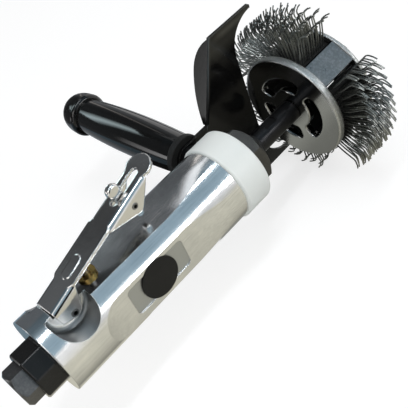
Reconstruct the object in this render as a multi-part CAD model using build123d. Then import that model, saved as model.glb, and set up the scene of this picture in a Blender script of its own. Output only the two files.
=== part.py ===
from build123d import *
import math
import os

# Undercoat remover: an air-driven hand tool that spins a wheel of bent wire bristles.
# Millimetres. X runs along the tool from the air inlet to the wheel, Z points to the lever side.
# The origin is the centre of the inlet's mouth. Shapes are drawn about the motor axis,
# which lies a little above the inlet axis, and are lifted to it when they are written out.

# Clearances and fits
run_clear = 0.05          # radial play of a pin or shaft that turns
slide_clear = 0.30        # gap between a moving piece and what it passes
seat_clear = 0.20         # end play inside the motor
cut_over = 2.0            # how far a cutting shape reaches past the face it opens
head_face = 0.3           # how far a nut's round face lies inside its flats
pick = 0.01               # how close to a plane an edge lies to be picked
coil_samples = 24         # points per turn on which a spring's gap is measured

# Lengths along the tool
hex_length = 8.5
exhaust_length = 12.0
housing_length = 124.9
ring_width = 17.9
nut_length = 10.0
spindle_reach = 39.3
disc_thick = 4.2
belt_width = 25.5
plate_thick = 2.7

x_exhaust = hex_length
x_housing = x_exhaust + exhaust_length
x_seam = x_housing + housing_length
x_ring_front = x_seam + ring_width
x_nut_front = x_ring_front + nut_length
x_disc = x_nut_front + spindle_reach
x_belt = x_disc + disc_thick
x_plate = x_belt + belt_width
x_front = x_plate + plate_thick

# Air inlet
inlet_drop = 2.0          # inlet axis below the motor axis
inlet_flats = 19.0
inlet_thread_r = 5.6
inlet_thread_depth = 13.0
inlet_bore_r = 4.0
inlet_spigot_r = 8.0
inlet_spigot_depth = 15.0
inlet_turn = 49.0         # degrees of a corner of the hexagon above the left side
exhaust_flats = 27.0
exhaust_turn = 17.0
exhaust_round = 2.8
exhaust_bevel = 0.75

# Motor housing
barrel_r = 22.3
bore_r = 16.5
neck_r = 19.0
lip_thick = 3.0           # front wall of the collar ring, held under the nut
housing_edge = 0.4
deck_z = 19.0             # flat valve deck under the lever
deck_back = 12.2          # deck start, from the housing's rear face
deck_length = 71.3
rim_width = 5.0           # full round rim behind the collar ring
rim_deck_turn = 68.0      # degrees above the side at which the deck's edges fade into the rim
rim_flat_turn = 22.0      # and the edges of the side flats
blend_lead = 2.0          # straight lead at each end of the blend from the deck to the rim
pocket_r = 12.1           # round pockets beside the lever's rear ears
pocket_back = 19.5        # pocket centre from the housing's rear face
pocket_z = 20.5
pocket_round = 3.2
flat_y = 18.6             # flats on both sides, from the motor axis
flat_back = 40.0
flat_runout_r = 30.0
field_length = 38.0       # recessed field in the right flat
field_height = 17.4
field_depth = 0.6
field_back = 63.0         # its centre from the housing's rear face
field_z = 0.8
field_corner = 2.5
badge_r = 11.2
badge_thick = 0.4
motor_back = 45.5         # start of the motor bore from the housing's rear face

# Throttle valve
valve_back = 38.5         # valve axis from the housing's rear face
valve_bush_r = 4.6
valve_flange_r = 5.2
valve_flange_thick = 1.6
valve_stem_r = 2.0
valve_dome = 1.6          # round on top of the stem
valve_head_r = 3.9
valve_head_thick = 2.0
valve_seat_z = 0.0
valve_well = 8.0          # room for the spring below the head
valve_wire_r = 0.4
valve_coil_r = 2.9
valve_turns = 4.5
port_r = 2.6

# Throttle lever, drawn about its pivot with its top flat along X and then raised
pivot_back = 21.7
pivot_z = 14.0
lever_rise = 17.3         # degrees at rest
lever_top = 10.8
lever_tail = 6.0
lever_length = 81.0
lever_width = 16.0        # over the ears
lever_strip = 15.2        # between the rear and the front ears
lever_taper = 4.0         # length over which the strip draws in to the waist between two ears
lever_round = 2.0
paddle_r = 8.0            # round tip
lever_sheet = 1.7
lever_bend = 3.0
lever_pin_r = 1.9
lever_pin_stand = 0.3     # how far the pin stands out of the ears
lever_pin_bore = 1.2
rear_ear_heel = (-7.3, 2.0)
rear_ear_low = (0.5, -3.1)
rear_ear_toe = (3.8, -1.9)
rear_ear_front = (7.0, 3.0)
rear_ear_end = 10.5
rear_ear_round = 1.2
front_ear_start = 39.3
front_ear_foot = 57.7
front_ear_low = 12.0      # depth of the front ears below the top, before their foot is rounded
front_ear_end = 70.5
front_ear_round = 3.0
lock_u = 56.7             # lock pin along the lever
lock_w = 5.0
slot_back = 51.0
slot_front = 72.5
slot_width = 4.8
emboss_u = 16.8
emboss_length = 13.2
emboss_width = 6.2
emboss_height = 0.5
emboss_round = 0.4

# Lock lever, drawn about its pin
lock_thick = 3.4
lock_hub_r = 3.0
lock_pin_r = 1.6
lock_pin_stand = 0.2
lock_pin_bore = 1.0
lock_tab_r = 3.9
lock_tab_thick = 4.2
lock_tab_round = 1.6
lock_tab_up = 10.1
lock_foot_r = 1.9
lock_foot_down = 11.6
lock_leg = 3.4
lock_wire_r = 0.35
lock_coil_r = 2.4
lock_pitch = 1.15
lock_turns = 3.0
lock_spring_leg = 6.0

# Air motor
end_plate_thick = 5.0
liner_chamber_r = 13.5
liner_offset = 1.5
rotor_r = 11.7
rotor_rear_r = 4.0
rotor_front_r = 5.3
vane_count = 5
vane_thick = 2.0
vane_depth = 5.0
vane_room = 1.0           # air space under a vane

# Planetary gears
gear_module = 0.75
sun_teeth = 12
planet_teeth = 12
planet_count = 3
gear_addendum = 0.60
gear_dedendum = 0.90
gear_backlash = 0.34
gear_flank = 20.0
gear_length = 11.0
gear_gap = 1.0            # from a gear's end to its neighbour
planet_pin_r = 1.5
carrier_r = 14.5
carrier_thick = 5.5

# Spindle and its bearings
spindle_r = 6.35
journal_r = 8.5
bearing_width = 9.0
bearing_gap = 1.5
front_bearing_r = 12.0
nut_flats = 32.0
nut_turn = 23.0
nut_face_r = 17.8
nut_face_thick = 1.0
nut_spigot = 13.0
nut_gap = 3.3             # from the nut's spigot to the rear bearing
seal_r = 7.6
seal_width = 8.5
seal_stand = 6.5
seal_bevel = 0.6
flat_across = 11.0        # wrench flats on the spindle
flat_from_disc = 24.0
flat_span = 9.0
spindle_bevel = 0.8       # at the shoulder that the rear disc sits on
pilot_r = 4.0
pilot_stand = 2.0         # spindle end past the hub nut
hub_nut_flats = 13.0
hub_nut_height = 6.5

# Bristle wheel
disc_r = 33.5
disc_edge = 0.8
bar_count = 3
bar_width = 15.0
bar_depth = 7.0
bar_turn = 10.7           # degrees of the first crossbar from the left side
window_r_in = 13.0
window_r_out = 21.2
window_half = 48.5        # half angle of each window
window_corner = 2.6
plate_hole_r = 9.0
screw_r = 2.0
screw_head_r = 3.8
screw_bite = 3.2          # thread depth in the rear disc
socket_flats = 2.5        # hexagon socket in the screw heads
socket_depth = 1.6
band_r_in = 27.0
band_thick = 3.0
band_half = 43.0          # half angle of each belt
wire_rows = 13
wire_across = 10
wire_half_width = 0.45    # circumradius of a three-sided strand
wire_half_angle = 40.5
wire_fan = 1.07           # how much wider the rows stand at the knee than at the root
wire_margin = 2.2
wire_root = 0.8           # how deep a strand is set in the band
wire_knee_r = 46.0
wire_tip_r = 53.2
wire_back = 3.5           # degrees that a strand leans back from its root to its knee
wire_lean = 6.6           # degrees that the bent tip leads the knee

# Collar ring, guard and side handle, drawn with the handle along Y and then turned
handle_turn = 2.0         # degrees that the handle stands above the left side
ring_r = 23.7
ring_edge = 1.25
ring_seat = 22.3          # flat seat of the guard spacer, from the motor axis
handle_from_seam = 10.0
spacer_r = 7.5
guard_y = 30.0            # inner face of the guard plate
guard_sheet = 2.0
strip_half = 8.5
guard_fold = 11.0         # start of the slanted edges, ahead of the ring
guard_slant = 22.0        # length of the slanted edges along X
guard_half = 53.9
guard_tip = 67.4          # tip of the guard, ahead of the ring
guard_front = 47.0        # straight front edge, ahead of the ring
guard_arc_r = 20.5
guard_tip_r = 1.2
guard_bend = 1.5          # round of the fold
wing_high = 12.0          # height of the outward wings
wing_low = 3.5            # their height at the strip
wing_crest = 31.0         # highest point of a wing along the fold, from the strip
stud_r = 4.0
stud_end = 60.0
root_thick = 4.2
root_r = 12.8
root_round = 0.6
grip_root_r = 11.6
grip_belly_r = 13.2
grip_belly_at = 42.0      # from the root washer
grip_neck_r = 11.4
grip_length = 90.5
knob_r = 14.0
knob_length = 20.0
knob_shoulder = 4.0

x_neck_end = x_ring_front - lip_thick
x_deck = x_housing + deck_back
x_deck_end = x_deck + deck_length
x_pocket = x_housing + pocket_back
x_field = x_housing + field_back
x_rim = x_seam - rim_width
x_rim_lead = x_rim + blend_lead
x_valve = x_housing + valve_back
x_pivot = x_housing + pivot_back
x_bearing_end = x_ring_front - nut_spigot - nut_gap
x_bearing = x_bearing_end - bearing_width
x_carrier_end = x_bearing - bearing_gap
x_carrier = x_carrier_end - carrier_thick
x_sun_end = x_carrier - gear_gap
x_sun = x_sun_end - gear_length
x_gear_plate = x_sun - gear_gap
x_liner_end = x_gear_plate - end_plate_thick
x_motor = x_housing + motor_back
x_liner = x_motor + end_plate_thick
liner_length = x_liner_end - x_liner
x_handle = x_seam + handle_from_seam
web_half = lever_width / 2 - lever_sheet - slide_clear
ear_face = lever_width / 2
lever_under = lever_top - lever_sheet
valve_floor = valve_seat_z - valve_head_thick - valve_well
ring_teeth = sun_teeth + 2 * planet_teeth
planet_orbit = gear_module * (sun_teeth + planet_teeth) / 2
bar_face = math.sqrt(disc_r ** 2 - (bar_width / 2) ** 2)
belt_turn = bar_turn + 180.0 / bar_count
low = (Align.CENTER, Align.CENTER, Align.MIN)


def rod(radius, x0, x1):
    """Round bar along the motor axis."""
    return Pos(x0, 0, 0) * Rot(0, 90, 0) * Cylinder(radius, x1 - x0, align=low)


def tube(r_out, r_in, x0, x1):
    """Round sleeve along the motor axis."""
    return rod(r_out, x0, x1) - rod(r_in, x0 - cut_over, x1 + cut_over)


def bar_y(radius, x, z, y0, y1):
    """Round bar across the tool, from y0 to y1."""
    return Pos(x, y0, z) * Rot(-90, 0, 0) * Cylinder(radius, y1 - y0, align=low)


def bar_z(radius, x, z0, z1):
    """Round bar standing on the XY plane."""
    return Pos(x, 0, z0) * Cylinder(radius, z1 - z0, align=low)


def plate_y(outline, y0, y1):
    """Plate whose outline is drawn in X and Z, from y0 to y1."""
    return extrude(Plane.XZ.offset(-y0) * outline, amount=y0 - y1)


def polygon_bar(flats, sides, turn, x0, x1):
    """Bar with a regular polygon section along the motor axis, a corner turned up from the left."""
    face = RegularPolygon(flats / 2, sides, major_radius=False, rotation=turn + 90)
    return Pos(x0, 0, 0) * Rot(0, 90, 0) * extrude(face, x1 - x0)


def ends_of(shape, x):
    """Edges of a shape that lie in one plane across the motor axis."""
    return shape.edges().filter_by_position(Axis.X, x - pick, x + pick)


def turned_head(flats, sides, turn, x0, x1, x_face):
    """Polygon bar with its corners bevelled at one end, down to a round face."""
    face_r = flats / 2 - head_face
    ends = [face_r + abs(x - x_face) for x in (x0, x1)]
    blank = Pos(x0, 0, 0) * Rot(0, 90, 0) * Cone(*ends, x1 - x0, align=low)
    return polygon_bar(flats, sides, turn, x0, x1) & blank


def around(shape, count, turn):
    """Copies of a shape spaced evenly about the motor axis."""
    return [Rot(turn + i * 360 / count, 0, 0) * shape for i in range(count)]


def save(name, shape):
    """Lift a piece to the motor axis and write it."""
    export_step(Pos(0, 0, inlet_drop) * shape, f"parts/{name}.step")


# Air inlet


def inlet_bushing():
    head = turned_head(inlet_flats, 6, inlet_turn, 0, hex_length, 0)
    x_end = x_housing + inlet_spigot_depth
    body = head + rod(inlet_spigot_r, hex_length, x_end)
    body -= rod(inlet_bore_r, -cut_over, x_end + cut_over)
    body -= rod(inlet_thread_r, -cut_over, inlet_thread_depth)
    return Pos(0, 0, -inlet_drop) * body


def exhaust_collar():
    body = polygon_bar(exhaust_flats, 8, exhaust_turn, x_exhaust, x_housing)
    body = fillet(body.edges().filter_by(Axis.X), exhaust_round)
    body = chamfer(ends_of(body, x_exhaust), exhaust_bevel)
    body -= rod(inlet_spigot_r, x_exhaust - cut_over, x_housing + cut_over)
    return Pos(0, 0, -inlet_drop) * body


# Motor housing


def deck_cut():
    """Room above the valve deck."""
    return Pos(x_deck, 0, deck_z) * Box(
        x_deck_end + cut_over - x_deck, 2 * (barrel_r + cut_over), barrel_r,
        align=(Align.MIN, Align.CENTER, Align.MIN))


def flat_cut():
    """Room beside the right flat, run out softly to the rear."""
    x0 = x_housing + flat_back
    outline = Pos(x0, -flat_y) * Rectangle(
        x_deck_end + cut_over - x0, barrel_r, align=(Align.MIN, Align.MAX))
    outline += Pos(x0, -flat_y - flat_runout_r) * Circle(flat_runout_r)
    return Pos(0, 0, -barrel_r - cut_over) * extrude(outline, 2 * (barrel_r + cut_over))


def barrel_section(x, deck_turn, flat_turn, flattened):
    """Section across the barrel, split at the edges of the deck and of the side flats."""
    f, d = flat_turn, deck_turn
    turns = [-f, f, d, 180 - d, 180 - f, 180 + f, 360 - f]
    sides = []
    for i, (a, b) in enumerate(zip(turns, turns[1:])):
        side = CenterArc((0, 0), barrel_r, a, b - a)
        sides.append(Line(side @ 0, side @ 1) if flattened and i % 2 == 0 else side)
    return Plane.YZ.offset(x) * make_face(sides)


def rim_blend():
    """Front of the barrel, where the deck and the side flats swell softly into the round rim."""
    d = math.degrees(math.asin(deck_z / barrel_r))
    f = math.degrees(math.acos(flat_y / barrel_r))
    sections = [barrel_section(x, d, f, True) for x in (x_deck_end, x_deck_end + blend_lead)]
    sections += [barrel_section(x, rim_deck_turn, rim_flat_turn, False) for x in (x_rim, x_rim_lead)]
    return loft(sections)


def field_cut():
    """Shallow recess for the badge."""
    outline = Pos(x_field, field_z) * RectangleRounded(field_length, field_height, field_corner)
    return plate_y(outline, -barrel_r, field_depth - flat_y)


def motor_housing():
    body = rod(barrel_r, x_housing, x_deck_end)
    body = fillet(ends_of(body, x_housing), housing_edge)
    body -= flat_cut()
    body -= mirror(flat_cut(), Plane.XZ)
    body -= deck_cut()
    body += rim_blend()
    body += rod(barrel_r, x_rim_lead, x_seam)
    body += rod(neck_r, x_seam, x_neck_end)
    body -= field_cut()
    for side in (-1, 1):
        y_in, y_out = sorted((side * web_half, side * (barrel_r + cut_over)))
        pocket = bar_y(pocket_r, x_pocket, pocket_z, y_in, y_out)
        web_face = side * web_half
        floor = pocket.edges().filter_by_position(Axis.Y, web_face - pick, web_face + pick)
        body -= fillet(floor, pocket_round)
    body -= bar_y(lever_pin_r, x_pivot, pivot_z, -barrel_r, barrel_r)
    body -= bar_z(valve_bush_r, x_valve, valve_floor, deck_z + cut_over)
    body -= rod(bore_r, x_motor, x_neck_end + cut_over)
    drop = Pos(0, 0, -inlet_drop)
    body -= drop * rod(inlet_spigot_r, x_housing - cut_over, x_housing + inlet_spigot_depth)
    body -= drop * rod(inlet_bore_r, x_housing, x_valve)
    body -= Pos(0, 0, deck_z / 2) * rod(port_r, x_valve, x_motor + cut_over)
    return body


def badge():
    """Plain disc that bridges the recess."""
    return bar_y(badge_r, x_field, field_z, -flat_y - badge_thick, -flat_y)


# Springs


def helix_path(radius, pitch, turns, legs=0.0):
    """Coil about Z from z = 0, a biarc to each quarter turn, with optional straight legs."""
    steps = round(turns * 4)
    rise = pitch / 4
    slope = pitch / (2 * math.pi * radius)
    scale = 1 / math.hypot(1, slope)

    def at(i):
        a = i * math.pi / 2
        return Vector(radius * math.cos(a), radius * math.sin(a), rise * i)

    def heading(i):
        a = i * math.pi / 2
        return Vector(-math.sin(a) * scale, math.cos(a) * scale, slope * scale)

    edges = []
    if legs:
        edges.append(Line(at(0) - heading(0) * legs, at(0)))
    for i in range(steps):
        p, q, tp, tq = at(i), at(i + 1), heading(i), heading(i + 1)
        v, t = q - p, tp + tq
        a, b, c = t.dot(t) - 4, -2 * v.dot(t), v.dot(v)
        reach = (-b - math.sqrt(b * b - 4 * a * c)) / (2 * a)
        near, far = p + tp * reach, q - tq * reach
        middle = (near + far) * 0.5
        edges.append(TangentArc(p, middle, tangent=tp))
        edges.append(TangentArc(middle, q, tangent=far - near))
    if legs:
        edges.append(Line(at(steps), at(steps) + heading(steps) * legs))
    return Wire(edges)


def coil(name, radius, pitch, turns, wire_r, legs=0.0):
    """Spring wire swept along a helix, with its least gap to itself printed."""
    path = helix_path(radius, pitch, turns, legs)
    section = Plane(path @ 0, z_dir=path % 0) * Circle(wire_r)
    count = round(turns * coil_samples)
    points = [path @ (i / count) for i in range(count + 1)]
    apart = round(count * math.pi * radius / path.length)
    pairs = [(p, q) for i, p in enumerate(points) for q in points[i + apart:]]
    gap = min((p - q).length for p, q in pairs) - 2 * wire_r
    print(f"{name}: least gap between turns {gap:.2f} mm")
    return sweep(section, path)


# Throttle valve


def valve_bushing():
    body = bar_z(valve_bush_r, x_valve, valve_seat_z, deck_z)
    body += bar_z(valve_flange_r, x_valve, deck_z, deck_z + valve_flange_thick)
    body -= bar_z(valve_stem_r + run_clear, x_valve, valve_seat_z - cut_over, barrel_r + cut_over)
    body -= Pos(0, 0, deck_z / 2) * rod(port_r, x_valve, x_motor)
    return body


def lever_height(x, rise):
    """Height of the lever's underside at a place along the tool, for one lever angle."""
    a = math.radians(rise)
    return pivot_z + lever_under / math.cos(a) + (x - x_pivot) * math.tan(a)


def valve_stem():
    slant = valve_stem_r * math.tan(math.radians(lever_rise))
    top = lever_height(x_valve, lever_rise) - slide_clear - slant
    z_head = valve_seat_z - slide_clear
    body = bar_z(valve_stem_r, x_valve, z_head, top)
    rim = body.edges().filter_by_position(Axis.Z, top - pick, top + pick)
    return fillet(rim, valve_dome) + bar_z(valve_head_r, x_valve, z_head - valve_head_thick, z_head)


def valve_spring():
    room = valve_well - slide_clear - 2 * valve_wire_r
    body = coil("valve_spring", valve_coil_r, room / valve_turns, valve_turns, valve_wire_r)
    return Pos(x_valve, 0, valve_floor + valve_wire_r) * body


# Throttle lever and its lock


def on_lever(shape):
    """Place a shape drawn about the lever's pivot."""
    return Pos(x_pivot, 0, pivot_z) * Rot(0, -lever_rise, 0) * shape


def on_lock(shape):
    """Place a shape drawn about the lock pin."""
    return on_lever(Pos(lock_u, 0, lock_w) * shape)


def rear_ears():
    """Side view of the rear ears, from the lever's top down round the pivot."""
    outline = make_face(Polyline(
        (-lever_tail, lever_top), rear_ear_heel, rear_ear_low, rear_ear_toe, rear_ear_front,
        (rear_ear_end, lever_under), (rear_ear_end, lever_top), close=True))
    return fillet(outline.vertices().sort_by(Axis.Y)[:3], rear_ear_round)


def front_ears():
    """Side view of the front ears, a triangle with a round foot below the lock pin."""
    outline = make_face(Polyline(
        (front_ear_start, lever_top), (front_ear_start, lever_under),
        (front_ear_foot, lever_top - front_ear_low), (front_ear_end, lever_under),
        (front_ear_end, lever_top), close=True))
    return fillet(outline.vertices().sort_by(Axis.Y)[0], front_ear_round)


def bent_down(outline):
    """A pair of ears of one side view, bent down from the strip between them."""
    body = plate_y(outline, -ear_face, ear_face)
    edges = body.edges().filter_by(Axis.X)
    body = fillet(edges.filter_by_position(Axis.Z, lever_top - pick, lever_top + pick), lever_bend)
    inner = Box(
        2 * lever_length, lever_width - 2 * lever_sheet, 2 * lever_top,
        align=(Align.CENTER, Align.CENTER, Align.MAX))
    return body - Pos(0, 0, lever_under) * fillet(
        inner.edges().filter_by(Axis.X).sort_by(Axis.Z)[-2:], lever_bend - lever_sheet)


def strip_plan():
    """Plan of the lever's strip, waisted between each pair of ears and round at the tip."""
    half = lever_strip / 2
    waist = ear_face - lever_bend - slide_clear
    paddle_u = lever_length - paddle_r
    side = [
        (-lever_tail, waist), (rear_ear_end - lever_taper, waist), (rear_ear_end, half),
        (front_ear_start, half), (front_ear_start + lever_taper, waist),
        (front_ear_end - lever_taper, waist), (paddle_u, paddle_r)]
    other = [(u, -y) for u, y in side]
    plan = make_face([
        Polyline(*side), ThreePointArc(side[-1], (lever_length, 0), other[-1]), Polyline(*other),
        Line(side[0], other[0])])
    return fillet(plan.vertices().sort_by(Axis.X)[2:-2], lever_round)


def lever():
    body = extrude(Pos(0, 0, lever_under) * strip_plan(), lever_sheet)
    body += bent_down(rear_ears())
    body += bent_down(front_ears())
    slot = Pos((slot_back + slot_front) / 2, 0) * SlotOverall(slot_front - slot_back, slot_width)
    body -= extrude(Pos(0, 0, lever_under - cut_over) * slot, lever_sheet + 2 * cut_over)
    pad = Pos(emboss_u, 0, lever_top) * extrude(SlotOverall(emboss_length, emboss_width), emboss_height)
    body += fillet(pad.faces().sort_by(Axis.Z)[-1].edges(), emboss_round)
    body -= bar_y(lever_pin_r + run_clear, 0, 0, -lever_width, lever_width)
    body -= bar_y(lock_pin_r, lock_u, lock_w, -lever_width, lever_width)
    return on_lever(body)


def lever_pin():
    reach = ear_face + lever_pin_stand
    pin = bar_y(lever_pin_r, x_pivot, pivot_z, -reach, reach)
    return pin - bar_y(lever_pin_bore, x_pivot, pivot_z, -reach - cut_over, reach + cut_over)


def lock_pin():
    reach = ear_face + lock_pin_stand
    pin = bar_y(lock_pin_r, 0, 0, -reach, reach)
    return on_lock(pin - bar_y(lock_pin_bore, 0, 0, -reach - cut_over, reach + cut_over))


def lock_lever():
    """Thumb tab above, foot below, turning on the lock pin."""
    leg = Pos(0, -lock_foot_down / 2) * Rectangle(lock_leg, lock_foot_down)
    neck = Pos(0, lock_tab_up / 2) * Rectangle(lock_leg + lock_foot_r, lock_tab_up)
    outline = Circle(lock_hub_r) + leg + neck
    outline += Pos(0, -lock_foot_down) * Circle(lock_foot_r)
    body = plate_y(outline, -lock_thick / 2, lock_thick / 2)
    tab = bar_y(lock_tab_r, 0, lock_tab_up, -lock_tab_thick / 2, lock_tab_thick / 2)
    body += fillet(tab.edges().filter_by(GeomType.CIRCLE), lock_tab_round)
    body -= bar_y(lock_pin_r + run_clear, 0, 0, -lock_thick, lock_thick)
    return on_lock(body)


def lock_spring():
    """Torsion spring round the lock pin, beside the lock lever."""
    body = coil("lock_spring", lock_coil_r, lock_pitch, lock_turns, lock_wire_r, lock_spring_leg / 2)
    start = lock_thick / 2 + slide_clear + lock_wire_r
    return on_lock(Pos(0, start, 0) * Rot(-90, 0, 0) * body)


# Air motor


def rear_plate():
    return tube(bore_r, rotor_rear_r + run_clear, x_motor, x_liner)


def liner():
    chamber = Pos(0, 0, -liner_offset) * rod(liner_chamber_r, x_liner - cut_over, x_liner_end + cut_over)
    return rod(bore_r, x_liner, x_liner_end) - chamber


def front_plate():
    return tube(bore_r, rotor_front_r + run_clear, x_liner_end, x_gear_plate)


def vane_block(thick, depth):
    """One vane, or the slot for it, at the top of the rotor."""
    length = liner_length - 2 * seat_clear
    return Pos(x_liner + seat_clear, 0, rotor_r - depth) * Box(
        length, thick, depth, align=(Align.MIN, Align.CENTER, Align.MIN))


def rotor():
    body = rod(rotor_r, x_liner + seat_clear, x_liner_end - seat_clear)
    for slot in around(vane_block(vane_thick, vane_depth + vane_room), vane_count, 0):
        body -= slot
    body += rod(rotor_rear_r, x_motor + seat_clear, x_liner + seat_clear)
    body += rod(rotor_front_r, x_liner_end - seat_clear, x_sun - seat_clear)
    return body + Pos(x_sun - seat_clear, 0, 0) * gear(sun_teeth, gear_length + seat_clear, 0)


def vanes():
    depth = vane_depth - seat_clear
    vane = vane_block(vane_thick - 2 * run_clear, depth) & rod(rotor_r, x_liner, x_liner_end)
    return Compound(around(vane, vane_count, 0))


# Planetary gears


def tooth_outline(teeth, inward, phase):
    """Closed gear outline with straight flanks; an inward gear has its teeth inside."""
    pitch_r = gear_module * teeth / 2
    sign = -1 if inward else 1
    half = (math.pi * gear_module / 2 - gear_backlash) / 2
    lean = math.tan(math.radians(gear_flank))
    tooth = [(-gear_dedendum, -1), (gear_addendum, -1), (gear_addendum, 1), (-gear_dedendum, 1)]
    points = []
    for k in range(teeth):
        centre = math.radians(phase) + 2 * math.pi * k / teeth
        for height, edge in tooth:
            r = pitch_r + sign * height
            a = centre + edge * (half - height * lean) / r
            points.append((r * math.cos(a), r * math.sin(a)))
    return make_face(Polyline(*points, close=True))


def gear(teeth, length, phase):
    """Toothed wheel standing along X from x = 0."""
    return Rot(0, 90, 0) * extrude(tooth_outline(teeth, False, phase), length)


def ring_gear():
    body = rod(bore_r, x_gear_plate, x_sun_end)
    length = x_sun_end - x_gear_plate + 2 * cut_over
    space = Rot(0, 90, 0) * extrude(tooth_outline(ring_teeth, True, 0), length)
    return body - Pos(x_gear_plate - cut_over, 0, 0) * space


def planet():
    """First planet, with a gap between its teeth facing the sun."""
    body = gear(planet_teeth, gear_length, 180.0 / planet_teeth)
    body -= rod(planet_pin_r + run_clear, -cut_over, gear_length + cut_over)
    return Pos(x_sun, 0, planet_orbit) * body


# Spindle, bearings and front nut


def spindle():
    body = rod(carrier_r, x_carrier, x_carrier_end)
    pin = Pos(0, 0, planet_orbit) * rod(planet_pin_r, x_sun, x_carrier)
    body += around(pin, planet_count, 0)
    x_step = x_ring_front
    body += rod(journal_r, x_carrier_end, x_step)
    shank = rod(spindle_r, x_step, x_disc)
    body += chamfer(ends_of(shank, x_disc), spindle_bevel)
    body += rod(pilot_r, x_disc, x_belt + hub_nut_height + pilot_stand)
    for side in (-1, 1):
        body -= Pos(x_disc - flat_from_disc, 0, side * flat_across / 2) * Box(
            flat_span, 2 * spindle_r, spindle_r,
            align=(Align.MIN, Align.CENTER, Align.MIN if side > 0 else Align.MAX))
    return body


def bearing_rear():
    return tube(bore_r, journal_r + run_clear, x_bearing, x_bearing_end)


def bearing_front():
    x_end = x_ring_front - bearing_gap
    return tube(front_bearing_r, journal_r + run_clear, x_end - bearing_width, x_end)


def front_nut():
    body = turned_head(nut_flats, 6, nut_turn, x_ring_front, x_nut_front, x_nut_front)
    body += rod(nut_face_r, x_ring_front, x_ring_front + nut_face_thick)
    body += rod(bore_r, x_ring_front - nut_spigot, x_ring_front)
    body -= rod(front_bearing_r, x_ring_front - nut_spigot - cut_over, x_ring_front - bearing_gap)
    body -= rod(journal_r + slide_clear, x_ring_front - nut_spigot, x_ring_front + slide_clear)
    body -= rod(spindle_r + slide_clear, x_ring_front, x_nut_front + cut_over)
    return body - rod(seal_r, x_nut_front + seal_stand - seal_width, x_nut_front + cut_over)


def dust_seal():
    x_end = x_nut_front + seal_stand
    body = tube(seal_r, spindle_r + 2 * run_clear, x_end - seal_width, x_end)
    outer = ends_of(body, x_end).sort_by(SortBy.LENGTH)[-1]
    return chamfer(outer, seal_bevel)


# Bristle wheel


def window():
    """Kidney-shaped opening at the left side of the rear disc."""
    a = window_half
    outer = CenterArc((0, 0), window_r_out, -a, 2 * a)
    inner = CenterArc((0, 0), window_r_in, -a, 2 * a)
    face = make_face([outer, inner, Line(outer @ 0, inner @ 0), Line(outer @ 1, inner @ 1)])
    return fillet(face.vertices(), window_corner)


def wheel_face(outline, x0, x1):
    """Outline drawn with its own X along Y and its own Y along Z, from x0 to x1."""
    return extrude(Plane.YZ.offset(x0) * outline, x1 - x0)


def hub_disc():
    body = rod(disc_r, x_disc, x_belt)
    cut = wheel_face(window(), x_disc - cut_over, x_belt + cut_over)
    for opening in around(cut, bar_count, belt_turn):
        body -= opening
    body = fillet(ends_of(body, x_disc), disc_edge)
    body -= rod(pilot_r, x_disc - cut_over, x_belt + cut_over)
    return body - screw_holes()


def crossbar():
    """Bar between the two discs, with a flat outer face, at the left side."""
    outline = Pos(bar_face - bar_depth / 2, 0) * Rectangle(bar_depth, bar_width)
    body = wheel_face(outline, x_belt, x_plate)
    return body - screw_blank()


def hub_plate():
    body = tube(disc_r, plate_hole_r, x_plate, x_front)
    rim = ends_of(body, x_front).sort_by(SortBy.LENGTH)[-1]
    return chamfer(rim, disc_edge) - screw_holes()


def screw_blank():
    """Countersunk screw at the left, through the front plate and a crossbar into the rear disc."""
    shank = rod(screw_r, x_belt - screw_bite, x_front)
    head_high = screw_head_r - screw_r
    cone = Cone(screw_r, screw_head_r, head_high, align=low)
    head = Pos(x_front - head_high, 0, 0) * Rot(0, 90, 0) * cone
    return Pos(0, bar_face - bar_depth / 2, 0) * (shank + head)


def screw_holes():
    return Compound(around(screw_blank(), bar_count, bar_turn))


def hub_screws():
    socket = polygon_bar(socket_flats, 6, 0, x_front - socket_depth, x_front + cut_over)
    screw = screw_blank() - Pos(0, bar_face - bar_depth / 2, 0) * socket
    return Compound(around(screw, bar_count, bar_turn))


def hub_nut():
    x_end = x_belt + hub_nut_height
    body = turned_head(hub_nut_flats, 6, 0, x_belt, x_end, x_end)
    return body - rod(pilot_r, x_belt - cut_over, x_end + cut_over)


def wire(x, angle):
    """One three-sided strand: straight out of the band, then bent forward at its knee."""
    a = math.radians(angle)
    b = math.radians(angle * wire_fan - wire_back)
    c = b + math.radians(wire_lean)
    r_root = band_r_in + band_thick - wire_root
    stops = [(r_root, a), (wire_knee_r, b), (wire_tip_r, c)]
    base = Plane(origin=(0, 0, 0), x_dir=(1, 0, 0), z_dir=(0, math.cos(a), math.sin(a)))
    section = base * RegularPolygon(wire_half_width, 3)
    rings = [Pos(x, r * math.cos(t), r * math.sin(t)) * section for r, t in stops]
    return loft(rings, ruled=True)


def belt():
    """Rubber band segment with its rows of bent wires, centred on the left side."""
    a = band_half
    r_out = band_r_in + band_thick
    outer = CenterArc((0, 0), r_out, -a, 2 * a)
    inner = CenterArc((0, 0), band_r_in, -a, 2 * a)
    face = make_face([outer, inner, Line(outer @ 0, inner @ 0), Line(outer @ 1, inner @ 1)])
    band = wheel_face(face, x_belt, x_plate)
    row_step = 2 * wire_half_angle / (wire_rows - 1)
    across = (belt_width - 2 * wire_margin) / (wire_across - 0.5)
    strands = []
    for row in range(wire_rows):
        angle = -wire_half_angle + row * row_step
        shift = across / 2 * (row % 2)
        for i in range(wire_across):
            strands.append(wire(x_belt + wire_margin + i * across + shift, angle))
    return band.fuse(*strands)


# Collar ring, guard and side handle


def turned(shape):
    """Turn a piece drawn with the handle along Y to the handle's real direction."""
    return Rot(handle_turn, 0, 0) * shape


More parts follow.
